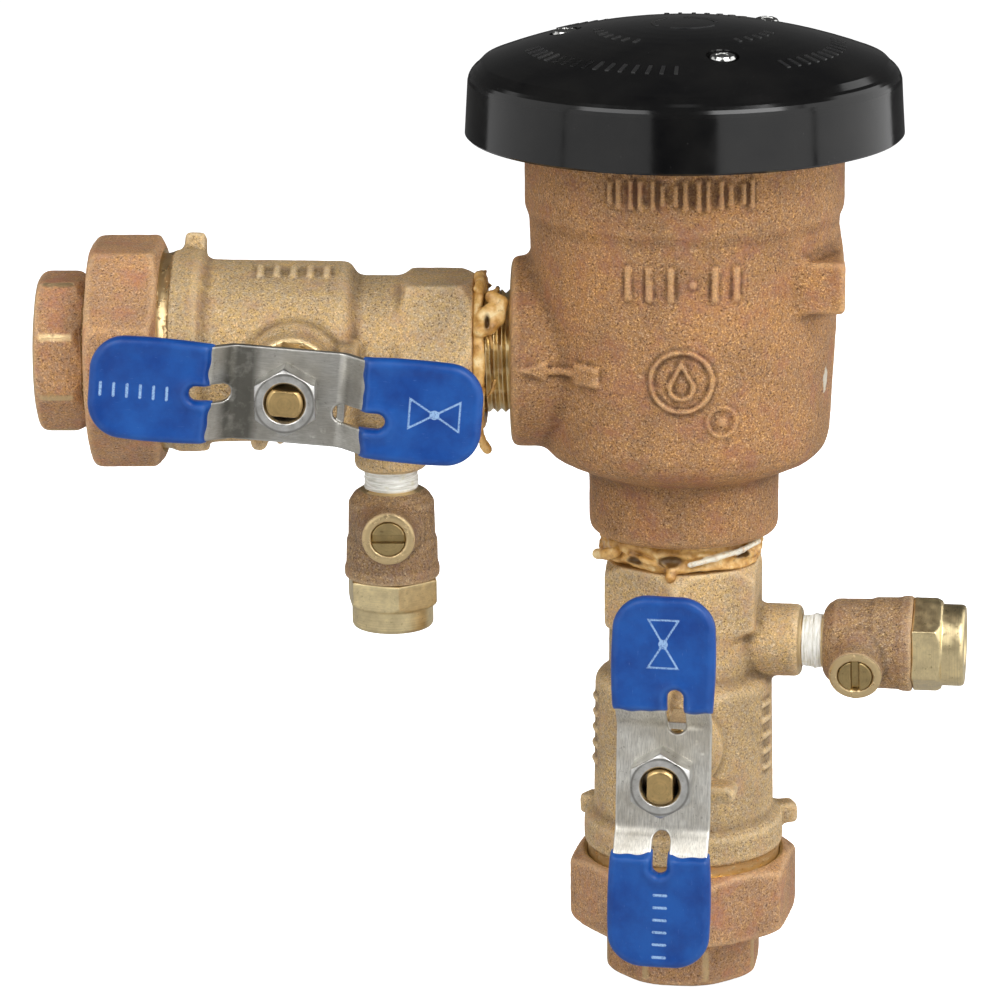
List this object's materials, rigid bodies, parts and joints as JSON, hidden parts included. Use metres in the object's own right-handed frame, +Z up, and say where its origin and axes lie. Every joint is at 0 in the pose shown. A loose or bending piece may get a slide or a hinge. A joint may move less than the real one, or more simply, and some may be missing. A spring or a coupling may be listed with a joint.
{
  "type": "backflow preventer",
  "caption": "Bronze pressure vacuum breaker: a vertical check and air inlet body under a black canopy, with union ball valves on its inlet and outlet and small test cocks.",
  "frame": {"origin": "centre of the inlet tailpiece's end face, at the mouth of the inlet port", "axes": "+Z up along the main body's axis, away from the inlet; -X points out of the outlet; -Y is the front, where the levers are"},
  "size_m": [0.2536, 0.1199, 0.2664],
  "materials": {
    "cast_bronze": "sand-cast bronze, fine rough skin, brown-gold",
    "machined_brass": "turned brass, bright, light tool marks",
    "stainless": "stamped stainless steel, satin, light scratches",
    "zinc_nut": "zinc plated steel",
    "blue_vinyl": "dipped blue vinyl, soft semi-gloss",
    "black_plastic": "gloss black moulded plastic",
    "rubber": "black rubber",
    "ptfe": "white PTFE",
    "thread_tape": "white PTFE thread tape, wound",
    "acetal": "off-white acetal",
    "sealant": "tan thread sealant with fibres, squeezed out",
    "spring_steel": "stainless spring wire",
    "ball_steel": "polished plated ball"
  },
  "bodies": {
    "housing": {"body": "cast_bronze", "inlet_nipple": "machined_brass", "outlet_nipple": "machined_brass", "inlet_thread_sealant": "sealant", "outlet_thread_sealant": "sealant", "bonnet": "cast_bronze", "bonnet_oring": "rubber", "canopy": "black_plastic", "canopy_screws": "stainless", "load_spring": "spring_steel", "load_nut": "machined_brass", "check_spring": "spring_steel", "check_guide": "acetal", "inlet_tailpiece": "cast_bronze", "inlet_union_nut": "cast_bronze", "inlet_union_oring": "rubber", "inlet_valve_body": "cast_bronze", "inlet_seat_retainer": "machined_brass", "inlet_ball_seats": "ptfe", "inlet_stem_packing": "ptfe", "inlet_packing_nut": "machined_brass", "outlet_tailpiece": "cast_bronze", "outlet_union_nut": "cast_bronze", "outlet_union_oring": "rubber", "outlet_valve_body": "cast_bronze", "outlet_seat_retainer": "machined_brass", "outlet_ball_seats": "ptfe", "outlet_stem_packing": "ptfe", "outlet_packing_nut": "machined_brass", "inlet_cock_body": "cast_bronze", "inlet_cock_tape": "thread_tape", "inlet_cock_seats": "ptfe", "inlet_cock_oring": "rubber", "inlet_cock_end": "machined_brass", "outlet_cock_body": "cast_bronze", "outlet_cock_tape": "thread_tape", "outlet_cock_seats": "ptfe", "outlet_cock_oring": "rubber", "outlet_cock_end": "machined_brass"},
    "inlet_lever_set": {"inlet_lever": "stainless", "inlet_lever_grips": "blue_vinyl", "inlet_lever_nut": "zinc_nut", "inlet_stem": "machined_brass", "inlet_ball": "ball_steel"},
    "outlet_lever_set": {"outlet_lever": "stainless", "outlet_lever_grips": "blue_vinyl", "outlet_lever_nut": "zinc_nut", "outlet_stem": "machined_brass", "outlet_ball": "ball_steel"},
    "inlet_cock_plug": {"inlet_cock_stem": "machined_brass", "inlet_cock_ball": "ball_steel"},
    "outlet_cock_plug": {"outlet_cock_stem": "machined_brass", "outlet_cock_ball": "ball_steel"},
    "check": {"check_poppet": "acetal", "check_disc": "rubber", "disc_retainer": "stainless"},
    "air_inlet": {"air_poppet": "acetal", "air_poppet_seal": "rubber"}
  },
  "joints": [
    {"name": "inlet_lever_turn", "type": "hinge", "parent": "housing", "child": "inlet_lever_set", "pos_m": [0, 0, 0.071], "axis": [0.1045, 0.9945, 0], "range_deg": [-1, 89]},
    {"name": "outlet_lever_turn", "type": "hinge", "parent": "housing", "child": "outlet_lever_set", "pos_m": [-0.1044, 0, 0.1761], "axis": [0, 1, 0], "range_deg": [-5, 85]},
    {"name": "inlet_cock_turn", "type": "hinge", "parent": "housing", "child": "inlet_cock_plug", "pos_m": [0.04823, -0.00507, 0.0952], "axis": [-0.1005, -0.956, -0.2756], "range_deg": [0, 90]},
    {"name": "outlet_cock_turn", "type": "hinge", "parent": "housing", "child": "outlet_cock_plug", "pos_m": [-0.0802, 0, 0.1276], "axis": [0, -1, 0], "range_deg": [0, 90]},
    {"name": "check_lift", "type": "slide", "parent": "housing", "child": "check", "axis": [0, 0, 1], "range_m": [0, 0.008], "stiffness_N_per_m": 400, "springref_m": -0.009, "deforming": ["check_spring"]},
    {"name": "air_inlet_lift", "type": "slide", "parent": "housing", "child": "air_inlet", "axis": [0, 0, 1], "range_m": [0, 0.0059], "stiffness_N_per_m": 120, "springref_m": -0.008, "deforming": ["load_spring"]}
  ]
}
